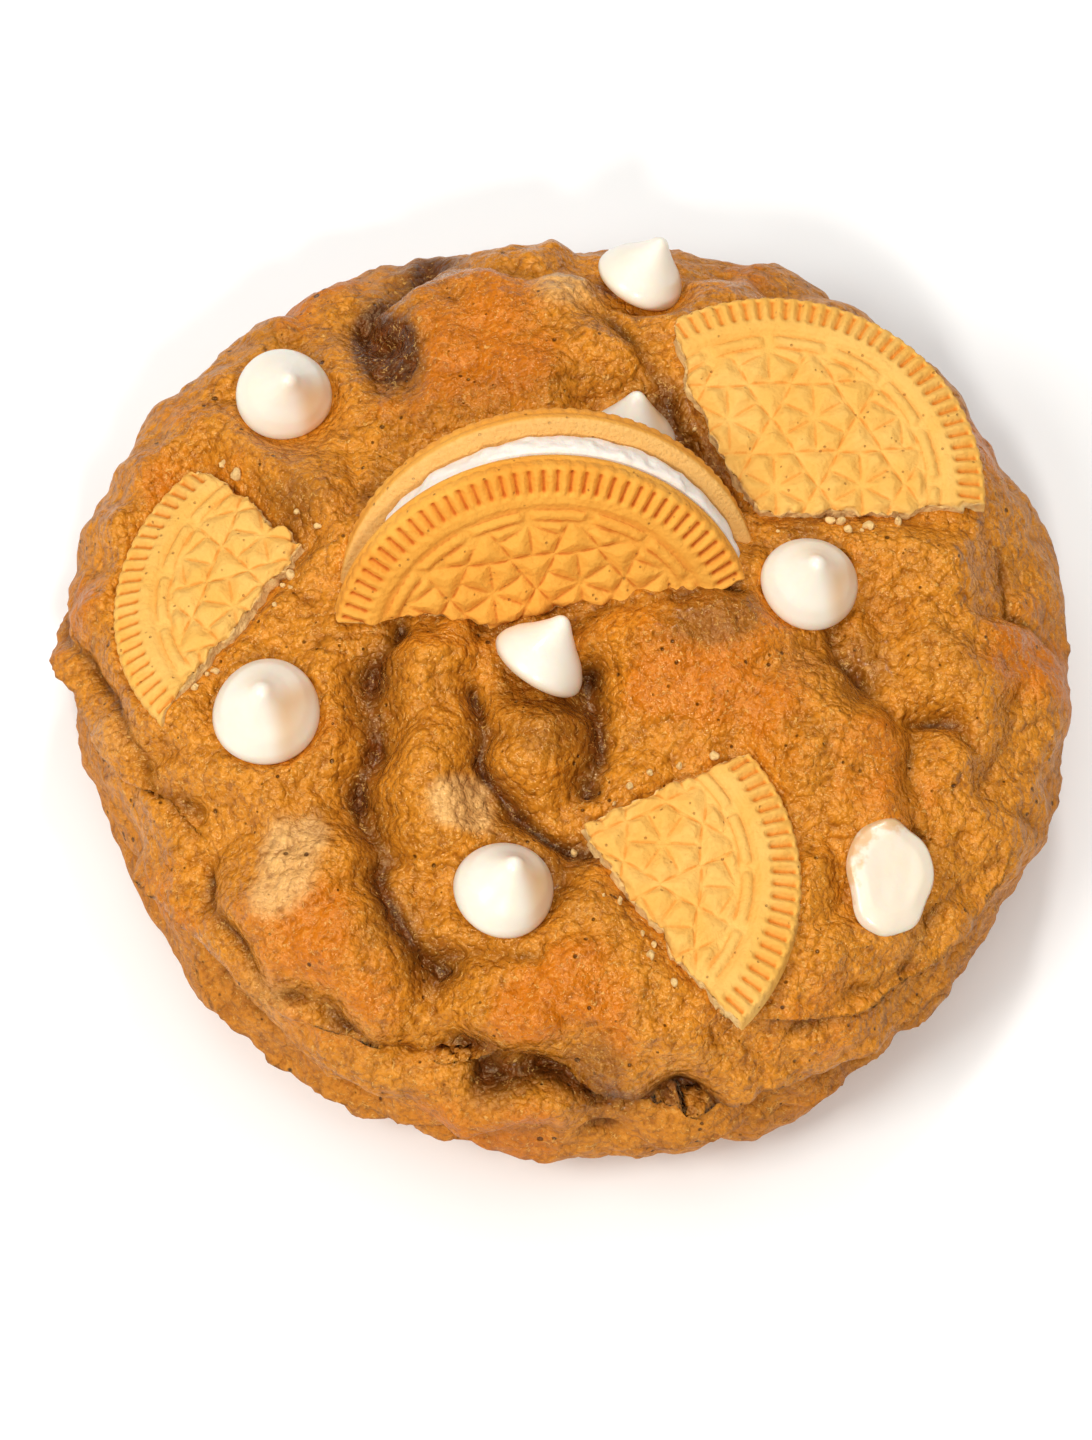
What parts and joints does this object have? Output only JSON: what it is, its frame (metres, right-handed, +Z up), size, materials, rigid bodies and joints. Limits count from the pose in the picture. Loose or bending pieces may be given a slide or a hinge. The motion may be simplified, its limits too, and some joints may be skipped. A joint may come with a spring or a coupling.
{
  "type": "loaded soft-baked cookie",
  "caption": "Thick round soft-baked cookie with broken pieces of sandwich biscuit, one of them a standing half with its creme, and white chocolate drops pressed into the top.",
  "frame": {"origin": "middle of the flat underside, on the surface the cookie rests on", "axes": "+Z up, -Y towards the viewer of the picture, +X to the viewer's right"},
  "size_m": [0.1085, 0.1046, 0.0434],
  "materials": {
    "crust": "caramel-brown baked crust, faintly greasy",
    "biscuit": "dry golden biscuit, pale where broken",
    "creme": "soft matt white creme",
    "chocolate": "smooth satin white chocolate"
  },
  "bodies": {
    "root": {"dough": "crust", "biscuit_left": "biscuit", "biscuit_right": "biscuit", "biscuit_front": "biscuit", "half_front": "biscuit", "half_creme": "creme", "half_back": "biscuit", "drop_back": "chocolate", "drop_upper_left": "chocolate", "drop_behind": "chocolate", "drop_right": "chocolate", "drop_centre": "chocolate", "drop_left": "chocolate", "drop_front": "chocolate", "drop_flat": "chocolate"}
  },
  "joints": []
}
